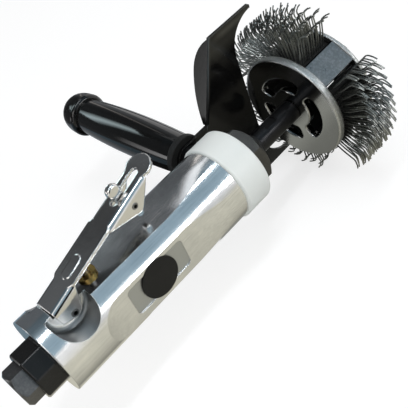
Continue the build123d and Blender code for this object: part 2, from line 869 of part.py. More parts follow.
def collar_ring():
    body = rod(ring_r, x_seam, x_ring_front)
    body = fillet(ends_of(body, x_seam) + ends_of(body, x_ring_front), ring_edge)
    body -= rod(neck_r, x_seam - cut_over, x_neck_end)
    body -= rod(bore_r, x_seam, x_ring_front + cut_over)
    body -= bar_y(spacer_r, x_handle, 0, ring_seat, ring_r + cut_over)
    body -= bar_y(stud_r, x_handle, 0, neck_r - cut_over, ring_r)
    return turned(body)


def guard_spacer():
    sleeve = bar_y(spacer_r, x_handle, 0, ring_seat, guard_y)
    return turned(sleeve - bar_y(stud_r, x_handle, 0, 0, guard_y + cut_over))


def guard_outline():
    """Half of the guard plate, on its upper side, drawn in X and Z."""
    x_fold = x_ring_front + guard_fold
    x_wide = x_fold + guard_slant
    x_tip = x_ring_front + guard_tip
    x_edge = x_ring_front + guard_front
    z_arc = guard_half - guard_tip_r * 2 - guard_arc_r
    corner = Vector(x_edge, z_arc)
    beak = Vector(x_edge + guard_arc_r, z_arc + guard_arc_r)
    hub = Vector(x_edge + guard_arc_r, z_arc)
    halfway = hub + Vector(-guard_arc_r, guard_arc_r) * math.sqrt(0.5)
    round_end = Vector(x_handle, 0) + Vector(-strip_half, strip_half) * math.sqrt(0.5)
    tip_high = Vector(x_tip - guard_tip_r, guard_half)
    tip_low = Vector(x_tip - guard_tip_r, guard_half - 2 * guard_tip_r)
    return make_face([
        ThreePointArc(corner, halfway, beak),
        Polyline(corner, (x_edge, 0), (x_handle - strip_half, 0)),
        ThreePointArc((x_handle - strip_half, 0), round_end, (x_handle, strip_half)),
        Polyline((x_handle, strip_half), (x_fold, strip_half), (x_wide, guard_half), tip_high),
        ThreePointArc(tip_high, (x_tip, guard_half - guard_tip_r), tip_low),
        Line(tip_low, beak),
    ])


def guard_wing():
    """Outward wing along the upper slanted edge, in one long arch."""
    x_fold = x_ring_front + guard_fold
    run = Vector(guard_slant, guard_half - strip_half)
    heel, crest, end = (0, wing_low), (wing_crest, wing_high), (run.length, 0)
    outline = make_face([
        Polyline(heel, (0, 0), end), TangentArc(crest, heel, tangent=(-1, 0)),
        TangentArc(crest, end, tangent=(1, 0))])
    plane = Plane(
        origin=(x_fold, guard_y, strip_half), x_dir=(run.X, 0, run.Y), z_dir=(-run.Y, 0, run.X))
    return extrude(plane * outline, -guard_sheet)


def guard():
    half = plate_y(guard_outline(), guard_y, guard_y + guard_sheet)
    half += guard_wing()
    halfway = (x_ring_front + guard_fold + guard_slant / 2, guard_y, (strip_half + guard_half) / 2)
    half = fillet(half.edges().sort_by_distance(halfway)[0], guard_bend)
    body = half + mirror(half, Plane.XY)
    body -= bar_y(stud_r, x_handle, 0, 0, guard_y + guard_sheet + cut_over)
    return turned(body)


def handle_stud():
    reach = guard_y + guard_sheet
    return turned(bar_y(stud_r, x_handle, 0, neck_r + slide_clear, reach + stud_end))


def handle_washer():
    y0 = guard_y + guard_sheet
    body = bar_y(root_r, x_handle, 0, y0, y0 + root_thick)
    body = fillet(body.edges().filter_by(GeomType.CIRCLE), root_round)
    return turned(body - bar_y(stud_r, x_handle, 0, 0, y0 + root_thick + cut_over))


def handle_grip():
    """Barrelled grip with a round knob, turned about the stud."""
    y0 = guard_y + guard_sheet + root_thick
    y_neck = y0 + grip_length
    y_knob = y_neck + knob_shoulder
    y_end = y_neck + knob_length
    belly = Spline(
        (grip_root_r, y0), (grip_belly_r, y0 + grip_belly_at), (grip_neck_r, y_neck))
    shoulder = Line(belly @ 1, (knob_r - knob_shoulder / 2, y_neck))
    swell = ThreePointArc(
        shoulder @ 1, (knob_r, (y_neck + y_knob) / 2), (knob_r, y_knob))
    dome = Spline((knob_r, y_knob), (0, y_end), tangents=((0, 1), (-1, 0)))
    profile = make_face([
        belly, shoulder, swell, dome, Line((0, y_end), (0, y0)), Line((0, y0), (grip_root_r, y0))])
    body = Pos(x_handle, 0, 0) * revolve(profile, Axis.Y)
    return turned(body - bar_y(stud_r, x_handle, 0, 0, guard_y + guard_sheet + stud_end))


pieces = {
    "inlet_bushing": inlet_bushing(),
    "exhaust_collar": exhaust_collar(),
    "motor_housing": motor_housing(),
    "badge": badge(),
    "valve_bushing": valve_bushing(),
    "valve_stem": valve_stem(),
    "valve_spring": valve_spring(),
    "lever": lever(),
    "lever_pin": lever_pin(),
    "lock_lever": lock_lever(),
    "lock_pin": lock_pin(),
    "lock_spring": lock_spring(),
    "rear_plate": rear_plate(),
    "liner": liner(),
    "front_plate": front_plate(),
    "rotor": rotor(),
    "vanes": vanes(),
    "ring_gear": ring_gear(),
    "bearing_rear": bearing_rear(),
    "bearing_front": bearing_front(),
    "front_nut": front_nut(),
    "dust_seal": dust_seal(),
    "collar_ring": collar_ring(),
    "spindle": spindle(),
    "hub_disc": hub_disc(),
    "hub_plate": hub_plate(),
    "hub_screws": hub_screws(),
    "hub_nut": hub_nut(),
    "guard": guard(),
    "guard_spacer": guard_spacer(),
    "handle_grip": handle_grip(),
    "handle_washer": handle_washer(),
    "handle_stud": handle_stud(),
}
for i, piece in enumerate(around(planet(), planet_count, 0), 1):
    pieces[f"planet_{i}"] = piece
for i, piece in enumerate(around(crossbar(), bar_count, bar_turn), 1):
    pieces[f"crossbar_{i}"] = piece
for i, piece in enumerate(around(belt(), bar_count, belt_turn), 1):
    pieces[f"belt_{i}"] = piece
for name, piece in pieces.items():
    save(name, piece)
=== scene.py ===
import math
import random

import bmesh
import bpy
from mathutils import Matrix, Vector


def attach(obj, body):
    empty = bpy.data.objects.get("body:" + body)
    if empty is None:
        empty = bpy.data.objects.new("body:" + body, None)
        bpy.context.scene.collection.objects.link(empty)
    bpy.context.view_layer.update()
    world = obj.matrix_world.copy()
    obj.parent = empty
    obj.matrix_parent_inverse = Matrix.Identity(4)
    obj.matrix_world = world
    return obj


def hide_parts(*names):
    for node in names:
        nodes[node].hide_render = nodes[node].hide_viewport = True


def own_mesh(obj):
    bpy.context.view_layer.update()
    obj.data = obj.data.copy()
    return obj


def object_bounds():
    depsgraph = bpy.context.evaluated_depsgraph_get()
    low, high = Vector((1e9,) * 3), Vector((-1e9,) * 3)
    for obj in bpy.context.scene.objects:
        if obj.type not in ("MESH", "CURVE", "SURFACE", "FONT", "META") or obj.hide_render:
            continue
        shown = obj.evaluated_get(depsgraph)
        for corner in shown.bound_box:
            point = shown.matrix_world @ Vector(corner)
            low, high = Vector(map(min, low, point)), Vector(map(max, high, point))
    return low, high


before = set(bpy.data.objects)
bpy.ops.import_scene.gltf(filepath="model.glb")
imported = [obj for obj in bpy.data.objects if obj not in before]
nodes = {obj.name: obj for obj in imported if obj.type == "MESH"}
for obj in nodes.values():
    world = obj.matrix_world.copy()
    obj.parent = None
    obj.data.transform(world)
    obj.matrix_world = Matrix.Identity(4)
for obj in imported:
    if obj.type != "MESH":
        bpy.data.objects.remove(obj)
cad_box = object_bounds()
scene = bpy.context.scene
scene.view_settings.view_transform = "Standard"
random.seed(11)

MM = 0.001
AXIS = 2.0 * MM            # height of the motor axis above the inlet axis


# Places on the tool that the materials follow, in metres

FIELD_X = (0.0645, 0.1025)           # recessed field on the housing's side flat
FIELD_Y = (-0.0184, -0.0150)
FIELD_Z = (-0.0059, 0.0115)
FIELD_SOFT = 0.0004
POCKET_X, POCKET_Z = 0.0400, 0.0225  # centre of the pockets for the lever's ears
POCKET_R = 0.0122
POCKET_Y = (0.0060, 0.0066)          # a pocket sets in here, on each side of the middle
POCKET_SOFT = 0.0002
RIM_R = (0.0322, 0.0334)             # the rim of the wheel's plates sets in here
GUARD_INNER_Y = (0.0289, 0.0291)     # the guard's inner face ends here
GUARD_SHEEN_Z = (0.040, 0.048)        # the painted sheen on it sets in here
GUARD_HIGHLIGHT_X = (0.197, 0.206)       # its painted highlight along the upper edge sets in here
GUARD_HIGHLIGHT_Z = (0.0525, 0.0552)     # foot and top of that painted highlight
GUARD_HIGHLIGHT_SOFT = 0.0016
GUARD_FOLD_SLOPE = 0.489             # run of the guard's fold along X for its rise along Z
GUARD_FOLD_X = (0.16825, 0.1691)     # the fold's two sides, taken down to the inlet axis
GUARD_FOLD_Y = (0.0292, 0.0298)      # the fold's inner side ends here
GUARD_FOLD_Z = (0.048, 0.010)        # from the faint top of the painted highlight along the fold to its strong foot
GUARD_FOLD_SOFT = 0.0003


# Numbers of the shader nodes

NOISE_RANGE = (0.3, 0.7)             # most values of a noise texture lie between these
MIX_COLOURS, MIX_RESULT = (6, 7), 2  # sockets of the Mix node for two colours


# Material helper


class Shader:
    """Builds one procedural material round a Principled shader."""

    def __init__(self, name):
        self.mat = bpy.data.materials.new(name)
        self.mat.use_nodes = True
        self.tree = self.mat.node_tree
        self.bsdf = self.tree.nodes["Principled BSDF"]
        self.point = self.add("ShaderNodeTexCoord").outputs["Object"]
        self.bent = None

    def add(self, kind, **settings):
        node = self.tree.nodes.new(kind)
        for key, value in settings.items():
            setattr(node, key, value)
        return node

    def feed(self, socket, value):
        if isinstance(value, bpy.types.NodeSocket):
            self.tree.links.new(value, socket)
        else:
            socket.default_value = value

    def set(self, **values):
        for key, value in values.items():
            self.feed(self.bsdf.inputs[key.replace("_", " ")], value)

    def stretched(self, scale):
        node = self.add("ShaderNodeMapping")
        self.feed(node.inputs["Vector"], self.point)
        node.inputs["Scale"].default_value = scale
        return node.outputs["Vector"]

    def noise(self, scale, detail=3.0, rough=0.55, stretch=None):
        node = self.add("ShaderNodeTexNoise")
        self.feed(node.inputs["Vector"], self.stretched(stretch) if stretch else self.point)
        node.inputs["Scale"].default_value = scale
        node.inputs["Detail"].default_value = detail
        node.inputs["Roughness"].default_value = rough
        return node.outputs[0]

    def lines(self, along, across):
        """Fine brushed lines that run along the tool."""
        return self.noise(1.0, 3.0, 0.6, stretch=(along, across, across))

    def math(self, op, a, b=0.0):
        node = self.add("ShaderNodeMath", operation=op)
        self.feed(node.inputs[0], a)
        self.feed(node.inputs[1], b)
        return node.outputs[0]

    def plus(self, a, b):
        return self.math("ADD", a, b)

    def times(self, a, b):
        return self.math("MULTIPLY", a, b)

    def span(self, value, low, high, out_low=0.0, out_high=1.0):
        """A value taken from one range to another, and held at its ends."""
        node = self.add("ShaderNodeMapRange", clamp=True)
        self.feed(node.inputs["Value"], value)
        ends = {"From Min": low, "From Max": high, "To Min": out_low, "To Max": out_high}
        for key, number in ends.items():
            self.feed(node.inputs[key], number)
        return node.outputs["Result"]

    def spread(self, noise, out_low, out_high):
        """A noise texture's values taken to a new range."""
        return self.span(noise, *NOISE_RANGE, out_low, out_high)

    def mix(self, fac, a, b):
        node = self.add("ShaderNodeMix", data_type="RGBA")
        self.feed(node.inputs[0], fac)
        for index, colour in zip(MIX_COLOURS, (a, b)):
            if not isinstance(colour, bpy.types.NodeSocket):
                colour = (*colour, 1.0)
            self.feed(node.inputs[index], colour)
        return node.outputs[MIX_RESULT]

    def axes(self):
        node = self.add("ShaderNodeSeparateXYZ")
        self.feed(node.inputs[0], self.point)
        return node.outputs

    def attribute(self, name):
        node = self.add("ShaderNodeAttribute", attribute_type="GEOMETRY", attribute_name=name)
        return node.outputs["Fac"]

    def within(self, value, low, high, soft):
        """1 inside a range of a coordinate, with soft ends."""
        up = self.span(value, low - soft, low + soft)
        down = self.span(value, high - soft, high + soft, 1.0, 0.0)
        return self.times(up, down)

    def length(self, a, b):
        """Length of a line from its run along two axes."""
        return self.math("SQRT", self.plus(self.times(a, a), self.times(b, b)))

    def radius(self):
        """Distance from the motor axis."""
        _, y, z = self.axes()
        return self.length(y, self.math("SUBTRACT", z, AXIS))

    def bend(self, normal):
        """Shades with a new normal, which the next bump starts from."""
        self.bent = normal
        self.feed(self.bsdf.inputs["Normal"], self.bent)

    def bump(self, height, distance):
        node = self.add("ShaderNodeBump")
        self.feed(node.inputs["Height"], height)
        node.inputs["Distance"].default_value = distance
        node.inputs["Strength"].default_value = 1.0
        if self.bent is not None:
            self.feed(node.inputs["Normal"], self.bent)
        self.bend(node.outputs["Normal"])

    def soft_edges(self, radius, samples=4):
        """Rounds hard edges in the shading, as on a real tumbled or painted piece."""
        node = self.add("ShaderNodeBevel", samples=samples)
        node.inputs["Radius"].default_value = radius
        self.bend(node.outputs["Normal"])


# Materials


def cast_alloy():
    """Polished casting, dull in the recessed field and in the pockets of the lever's ears; the pockets
    are also darkened with painted shade.
    """
    s = Shader("polished_casting")
    x, y, z = s.axes()
    field = s.times(s.within(x, *FIELD_X, FIELD_SOFT), s.within(z, *FIELD_Z, FIELD_SOFT))
    field = s.times(field, s.within(y, *FIELD_Y, FIELD_SOFT / 2))
    reach = s.length(s.math("SUBTRACT", x, POCKET_X), s.math("SUBTRACT", z, POCKET_Z))
    inner = s.within(reach, -1.0, POCKET_R, POCKET_SOFT)
    pocket = s.times(inner, s.span(s.math("ABSOLUTE", y), *POCKET_Y))
    dull = s.math("MAXIMUM", field, pocket)
    cloud = s.noise(45.0, 4.0)
    lines = s.lines(40.0, 2600.0)
    grain = s.noise(2600.0, 2.0)
    scuff = s.plus(s.span(cloud, 0.32, 0.68, 0.0, 0.6), s.span(lines, 0.35, 0.65, 0.0, 0.4))
    bright = s.mix(scuff, (0.68, 0.69, 0.70), (0.90, 0.90, 0.89))
    grey = s.mix(grain, (0.44, 0.455, 0.46), (0.54, 0.55, 0.55))
    # Painted shade: the pockets of the lever's ears are painted darker than the dull field.
    grey = s.mix(pocket, grey, (0.24, 0.255, 0.26))
    polish = s.plus(s.spread(cloud, 0.10, 0.16), s.span(lines, 0.3, 0.8, 0.0, 0.06))
    s.set(Metallic=1.0)
    s.set(Base_Color=s.mix(dull, bright, grey))
    s.set(Roughness=s.plus(polish, s.times(dull, 0.22)))
    s.soft_edges(0.0006)
    s.bump(s.noise(70.0, 2.0, 0.4), 0.00012)
    s.bump(lines, 0.000016)
    s.bump(s.times(grain, dull), 0.00012)
    return s.mat


def chrome():
    """Plated sheet: bright outside, thin and dull underneath where the plating hardly reaches, and
    painted dark underneath as painted shade.
    """
    s = Shader("bright_chrome")
    cloud = s.noise(90.0, 3.0)
    rub = s.lines(150.0, 1800.0)
    facing = s.add("ShaderNodeSeparateXYZ")
    s.feed(facing.inputs[0], s.add("ShaderNodeNewGeometry").outputs["Normal"])
    shaded_dull_underside = s.span(facing.outputs["Z"], -0.55, -0.80)
    bright = s.mix(cloud, (0.70, 0.69, 0.68), (0.82, 0.81, 0.79))
    polish = s.plus(s.spread(cloud, 0.06, 0.11), s.span(rub, 0.45, 0.85, 0.0, 0.08))
    s.set(Metallic=1.0)
    # The underside's dark colour is painted shade; its extra roughness is the thin plating.
    s.set(Base_Color=s.mix(shaded_dull_underside, bright, (0.08, 0.075, 0.07)))
    s.set(Roughness=s.plus(polish, s.times(shaded_dull_underside, 0.30)))
    s.soft_edges(0.0011, 8)
    s.bump(s.noise(180.0, 2.0), 0.00004)
    return s.mat


def hub_alloy():
    """Turned plate, with a rubbed and slightly pitted rim."""
    s = Shader("turned_plate")
    reach = s.radius()
    rings = s.math("SINE", s.times(reach, 9000.0))
    turned = s.plus(s.times(rings, 0.5), s.noise(500.0, 3.0))
    pits = s.span(s.noise(1500.0, 2.0, 0.7), 0.52, 0.66)
    edge = s.span(reach, *RIM_R)
    rim = s.times(pits, edge)
    cloud = s.noise(70.0, 4.0)
    face = s.mix(cloud, (0.38, 0.38, 0.375), (0.46, 0.46, 0.45))
    base = s.mix(edge, face, (0.42, 0.43, 0.425))
    s.set(Metallic=1.0)
    s.set(Base_Color=s.mix(rim, base, (0.66, 0.67, 0.67)))
    s.set(Roughness=s.plus(s.spread(cloud, 0.09, 0.14), s.times(edge, 0.28)))
    s.soft_edges(0.0016, 8)
    s.bump(turned, 0.000006)
    s.bump(rim, 0.00003)
    return s.mat


def bar_alloy():
    """Satin bar stock with a fine blasted grain."""
    s = Shader("satin_bar")
    grain = s.noise(700.0, 4.0, 0.7)
    cloud = s.noise(90.0, 4.0)
    base = s.mix(cloud, (0.175, 0.185, 0.188), (0.24, 0.246, 0.25))
    speck = s.span(grain, 0.45, 0.70, 0.0, 0.6)
    s.set(Metallic=1.0)
    s.set(Base_Color=s.mix(speck, base, (0.37, 0.38, 0.39)))
    s.set(Roughness=s.plus(s.spread(cloud, 0.26, 0.34), s.span(grain, 0.4, 0.7, 0.0, 0.06)))
    s.soft_edges(0.0004)
    s.bump(grain, 0.00001)
    return s.mat


def dark_metal(name, low, high, rough, grain):
    """Plated, phosphated or blackened steel with a fine grain."""
    s = Shader(name)
    cloud = s.noise(110.0, 4.0)
    fine = s.noise(grain, 3.0, 0.65)
    polish = s.spread(cloud, rough - 0.05, rough + 0.05)
    s.set(Metallic=0.85)
    s.set(Base_Color=s.mix(s.times(cloud, fine), low, high))
    s.set(Roughness=s.plus(polish, s.span(fine, 0.3, 0.8, 0.0, 0.10)))
    s.soft_edges(0.0003)
    s.bump(fine, 0.00003)
    return s.mat


def steel(name, low, high, rough):
    """Bare machined or drawn steel."""
    s = Shader(name)
    cloud = s.noise(140.0, 3.0)
    lines = s.lines(300.0, 3000.0)
    polish = s.spread(cloud, rough - 0.04, rough + 0.06)
    s.set(Metallic=1.0)
    s.set(Base_Color=s.mix(cloud, low, high))
    s.set(Roughness=s.plus(polish, s.span(lines, 0.3, 0.8, 0.0, 0.08)))
    s.bump(lines, 0.000012)
    return s.mat


def guard_painted_light(s, base):
    """Painted sheen and a painted highlight along the upper edge of the guard's inner face, and a
    painted highlight along its fold.
    """
    x, y, z = s.axes()
    inner = s.span(y, *GUARD_INNER_Y, 1.0, 0.0)
    painted_ridge_highlight = s.within(z, *GUARD_HIGHLIGHT_Z, GUARD_HIGHLIGHT_SOFT)
    painted_ridge_highlight = s.times(painted_ridge_highlight, s.span(x, *GUARD_HIGHLIGHT_X, 0.0, 0.6))
    painted_sheen = s.plus(s.span(z, *GUARD_SHEEN_Z, 0.0, 0.35), painted_ridge_highlight)
    # Painted sheen near the top of the guard's inner face, and a painted highlight along its upper
    # edge.
    base = s.mix(s.times(painted_sheen, inner), base, (0.095, 0.091, 0.074))
    painted_fold_highlight = s.math("SUBTRACT", x, s.times(z, GUARD_FOLD_SLOPE))
    painted_fold_highlight = s.within(painted_fold_highlight, *GUARD_FOLD_X, GUARD_FOLD_SOFT)
    painted_fold_highlight = s.times(painted_fold_highlight, s.span(y, *GUARD_FOLD_Y, 1.0, 0.0))
    painted_fold_highlight = s.times(painted_fold_highlight, s.span(z, *GUARD_FOLD_Z, 0.15, 0.9))
    # Painted highlight along the fold, stronger towards the bottom.
    return s.mix(painted_fold_highlight, base, (0.26, 0.31, 0.33))


def black_coat(name, rough, peel, tone, gloss, edge=0.0003, painted_light=None):
    """Paint or moulding in black: a slight orange peel, dust, and on the guard a painted sheen and
    painted highlights.
    """
    s = Shader(name)
    cloud = s.noise(60.0, 4.0)
    dust = s.span(s.noise(2200.0, 2.0, 0.7), 0.66, 0.76)
    base = s.mix(cloud, (tone, tone, tone), (tone * 1.8, tone * 1.8, tone * 1.75))
    if painted_light:
        base = painted_light(s, base)
    polish = s.spread(cloud, rough - 0.03, rough + 0.05)
    s.set(Specular_IOR_Level=gloss)
    s.set(Base_Color=s.mix(s.times(dust, 0.25), base, (0.12, 0.12, 0.12)))
    s.set(Roughness=s.plus(polish, s.times(dust, 0.12)))
    s.soft_edges(edge)
    s.bump(s.noise(peel, 2.0), 0.00002)
    return s.mat


def white_collar():
    s = Shader("satin_white")
    cloud = s.noise(55.0, 4.0)
    fine = s.noise(1800.0, 3.0)
    s.set(Base_Color=s.mix(cloud, (0.83, 0.87, 0.85), (0.90, 0.93, 0.90)))
    s.set(Roughness=s.spread(fine, 0.32, 0.44))
    s.bump(fine, 0.000015)
    return s.mat


def brass():
    s = Shader("turned_brass")
    cloud = s.noise(160.0, 3.0)
    s.set(Metallic=1.0)
    s.set(Base_Color=s.mix(cloud, (0.40, 0.25, 0.07), (0.52, 0.35, 0.12)))
    s.set(Roughness=s.spread(cloud, 0.26, 0.36))
    s.bump(s.noise(1.0, 2.0, stretch=(400.0, 400.0, 5000.0)), 0.00001)
    return s.mat


def rubber(name, tone, rough):
    s = Shader(name)
    fine = s.noise(2400.0, 3.0, 0.7)
    cloud = s.noise(120.0, 3.0)
    s.set(Base_Color=s.mix(cloud, (tone, tone, tone), (tone * 1.9, tone * 1.9, tone * 1.85)))
    s.set(Specular_IOR_Level=0.18)
    s.set(Roughness=s.spread(fine, rough - 0.06, rough + 0.08))
    s.bump(fine, 0.00004)
    return s.mat


def phenolic():
    s = Shader("phenolic_laminate")
    weave = s.noise(1.0, 3.0, stretch=(500.0, 3000.0, 3000.0))
    s.set(Base_Color=s.mix(weave, (0.20, 0.10, 0.05), (0.36, 0.21, 0.11)))
    s.set(Roughness=s.spread(weave, 0.42, 0.58))
    s.bump(weave, 0.00003)
    return s.mat


def wire_steel():
    """Drawn bristle wire: each wire has its own tone, darker at the root from dirt and painted shade,
    and lighter at the tip from rubbing and a painted highlight.
    """
    s = Shader("bristle_wire")
    tone = s.attribute("tone")
    along = s.attribute("along")
    fine = s.noise(1400.0, 3.0)
    base = s.mix(tone, (0.078, 0.082, 0.077), (0.41, 0.425, 0.40))
    # Darker towards the root: partly dirt, partly painted shade between the wires.
    base = s.mix(s.span(along, 0.0, 0.30, 0.35, 0.0), base, (0.03, 0.03, 0.03))
    # Lighter towards the tip: partly rubbed metal, partly a painted highlight.
    base = s.mix(s.span(along, 0.75, 1.0, 0.0, 0.25), base, (0.42, 0.41, 0.39))
    s.set(Metallic=0.9)
    s.set(Base_Color=s.mix(s.span(fine, 0.5, 0.8, 0.0, 0.5), base, (0.10, 0.09, 0.08)))
    s.set(Roughness=s.spread(fine, 0.24, 0.36))
    s.bump(fine, 0.00003)
    return s.mat


looks = {
    cast_alloy(): ["motor_housing"],
    chrome(): ["lever", "lock_lever"],
    hub_alloy(): ["hub_disc", "hub_plate"],
    bar_alloy(): ["crossbar_1", "crossbar_2", "crossbar_3"],
    dark_metal("dark_plated_hex", (0.09, 0.09, 0.092), (0.34, 0.335, 0.33), 0.30, 900.0): [
        "inlet_bushing"],
    dark_metal("phosphate_nut", (0.05, 0.048, 0.045), (0.17, 0.165, 0.155), 0.42, 1500.0): [
        "front_nut"],
    dark_metal("black_oxide", (0.010, 0.010, 0.011), (0.055, 0.055, 0.058), 0.28, 1200.0): [
        "spindle", "guard_spacer", "handle_stud"],
    black_coat("gloss_collar", 0.11, 300.0, 0.008, 0.35, edge=0.0007): ["exhaust_collar"],
    black_coat("guard_paint", 0.14, 420.0, 0.0035, 0.25, edge=0.0008, painted_light=guard_painted_light): ["guard"],
    black_coat("grip_moulding", 0.09, 180.0, 0.003, 0.45): ["handle_grip"],
    black_coat("badge_disc", 0.34, 500.0, 0.008, 0.2): ["badge"],
    rubber("washer_matte", 0.010, 0.55): ["handle_washer"],
    rubber("seal_rubber", 0.012, 0.50): ["dust_seal"],
    white_collar(): ["collar_ring"],
    brass(): ["valve_bushing"],
    phenolic(): ["vanes"],
    steel("machined_steel", (0.44, 0.44, 0.45), (0.58, 0.58, 0.58), 0.24): [
        "valve_stem", "rotor", "planet_1", "planet_2", "planet_3", "ring_gear", "rear_plate",
        "liner", "front_plate", "bearing_rear", "bearing_front", "hub_nut"],
    steel("dark_pin", (0.16, 0.16, 0.16), (0.30, 0.30, 0.30), 0.30): [
        "lever_pin", "lock_pin", "hub_screws"],
    steel("spring_wire", (0.30, 0.30, 0.31), (0.46, 0.46, 0.46), 0.22): [
        "valve_spring", "lock_spring"],
}
for material, names in looks.items():
    for name in names:
        slots = nodes[name].data.materials
        slots.clear()
        slots.append(material)


# Mesh helpers


def placed(name, data):
    """New object in the scene."""
    obj = bpy.data.objects.new(name, data)
    scene.collection.objects.link(obj)
    return obj


def piece(name, bm, body, material, sharp):
    """Smooth piece on a body, with edges left sharp past an angle in degrees."""
    bmesh.ops.recalc_face_normals(bm, faces=bm.faces)
    mesh = bpy.data.meshes.new(name)
    bm.to_mesh(mesh)
    bm.free()
    mesh.materials.append(material)
    obj = placed(name, mesh)
    for polygon in mesh.polygons:
        polygon.use_smooth = True
    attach(obj, body)
    mesh.set_sharp_from_angle(angle=math.radians(sharp))
    return obj


def skin(bm, rings, closed):
    """Faces between neighbouring rings of corners, round the rings if they are closed."""
    count = len(rings[0])
    for one, two in zip(rings, rings[1:]):
        for k in range(count if closed else count - 1):
            n = (k + 1) % count
            bm.faces.new((one[k], one[n], two[n], two[k]))


def polar(x, r, angle):
    """Point beside the motor axis, the angle taken from the handle side to the lever side."""
    return Vector((x * MM, r * MM * math.cos(angle), AXIS + r * MM * math.sin(angle)))


# Bristle belts, in millimetres and degrees

BELTS = 3
BELT_TURN = 70.7           # middle of the first belt, from the handle side
BELT_HALF = 43.0
BELT_X = (216.8, 242.3)
BAND_IN, BAND_OUT = 27.0, 30.0
BAND_EDGE = 0.5
BAND_STEPS = 36

ROWS, ACROSS = 13, 11
STAGGER = 0.5              # shift of every second row, in steps from wire to wire
ROW_HALF = 40.5            # last row from a belt's middle
ROW_MARGIN = 1.9           # first wire from a belt's side
TOGETHER = 3               # wires of a row that lean together
WIRE_R = 0.43
WIRE_SIDES = 6
WIRE_SUNK = 0.5            # how deep a wire is set in the band
KNEE_R = 47.5
TIP_R = 52.4
TIP_LIMIT = 52.78          # keeps the tips inside the solid's reach
KNEE_IN, KNEE_OUT = 1.2, 1.0           # length of the bend before and past the knee
BACK_LEAN = 6.5            # how far a knee lies behind its root
TIP_LEAN = 5.2             # how far a tip leads its knee
KNEE_PULL, TIP_PULL = 0.5, 0.4         # shares of the lean together, up to the knee and past it

FAN = {1: (1.38, 1.06), 2: (0.94, 1.07), 3: (0.94, 1.07)}  # spread of the wires at a belt's two ends
BELT_PAINTED_LIGHT = {1: 0.74, 2: 0.30, 3: 0.20}     # painted light and shade: how bright each belt's wires are painted, the same wire lit differently on each belt
LOOSE = {1: 0.7, 2: 0.35, 3: 0.7}      # how far each belt's wires stray from their rows
CLUMP = {1: 0.25, 2: 0.65, 3: 0.40}    # how far the wires of a row lean together

# Spread of the random draws
X_STRAY, ROW_STRAY = 0.10, 0.12
TURN_STRAY, LEAN_STRAY = 0.55, 0.9
KNEE_STRAY, TIP_STRAY = 0.5, 0.5
DRIFT_STRAY, TIP_DRIFT_STRAY = 0.45, 0.40
SHADE_STRAY = 0.20

wire_mat = wire_steel()
band_mat = rubber("belt_rubber", 0.012, 0.60)


def band(index, centre):
    """Rubber strip bent round the wheel, with softened edges."""
    bm = bmesh.new()
    x0, x1 = BELT_X
    edge = BAND_EDGE
    section = [
        (x0, BAND_IN + edge), (x0 + edge, BAND_IN), (x1 - edge, BAND_IN), (x1, BAND_IN + edge),
        (x1, BAND_OUT - edge), (x1 - edge, BAND_OUT), (x0 + edge, BAND_OUT), (x0, BAND_OUT - edge)]
    rings = []
    for i in range(BAND_STEPS + 1):
        a = math.radians(centre - BELT_HALF + 2 * BELT_HALF * i / BAND_STEPS)
        rings.append([bm.verts.new(polar(x, r, a)) for x, r in section])
    skin(bm, rings, closed=True)
    bm.faces.new(rings[0])
    bm.faces.new(list(reversed(rings[-1])))
    piece(f"belt_band_{index}", bm, "wheel", band_mat, sharp=40)


def wire_line(x, angle, fan, loose, pull):
    """Centre line of one bent wire as (x, r, angle) stops from root to tip."""
    turn = angle * fan[angle > 0] - BACK_LEAN + loose * random.gauss(0, TURN_STRAY)
    lean = TIP_LEAN + loose * random.gauss(0, LEAN_STRAY)
    knee = KNEE_R + random.gauss(0, KNEE_STRAY)
    tip = min(TIP_LIMIT, TIP_R + random.gauss(0, TIP_STRAY))
    drift = KNEE_PULL * pull + loose * random.gauss(0, DRIFT_STRAY)
    tip_drift = drift + TIP_PULL * pull + loose * random.gauss(0, TIP_DRIFT_STRAY)
    root = BAND_OUT - WIRE_SUNK
    return [
        (x, root, angle),
        (x + drift * 0.4, (root + knee) / 2, (angle + turn) / 2),
        (x + drift * 0.9, knee - KNEE_IN, turn),
        (x + drift, knee, turn + lean * 0.06),
        (x + drift, knee + KNEE_OUT, turn + lean * 0.20),
        (x + (drift + tip_drift) / 2, (knee + tip) / 2 + 0.6, turn + lean * 0.56),
        (x + tip_drift, tip, turn + lean),
    ]


def wire_rings(bm, points):
    """Rings of corners round a wire's centre line."""
    rings = []
    for k, p in enumerate(points):
        ahead = points[min(k + 1, len(points) - 1)] - points[max(k - 1, 0)]
        ahead.normalize()
        across = ahead.cross(Vector((1, 0, 0))).normalized()
        up = across.cross(ahead)
        ring = []
        for j in range(WIRE_SIDES):
            t = 2 * math.pi * j / WIRE_SIDES
            side = across * math.cos(t) + up * math.sin(t)
            ring.append(bm.verts.new(p + side * (WIRE_R * MM)))
        rings.append(ring)
    return rings


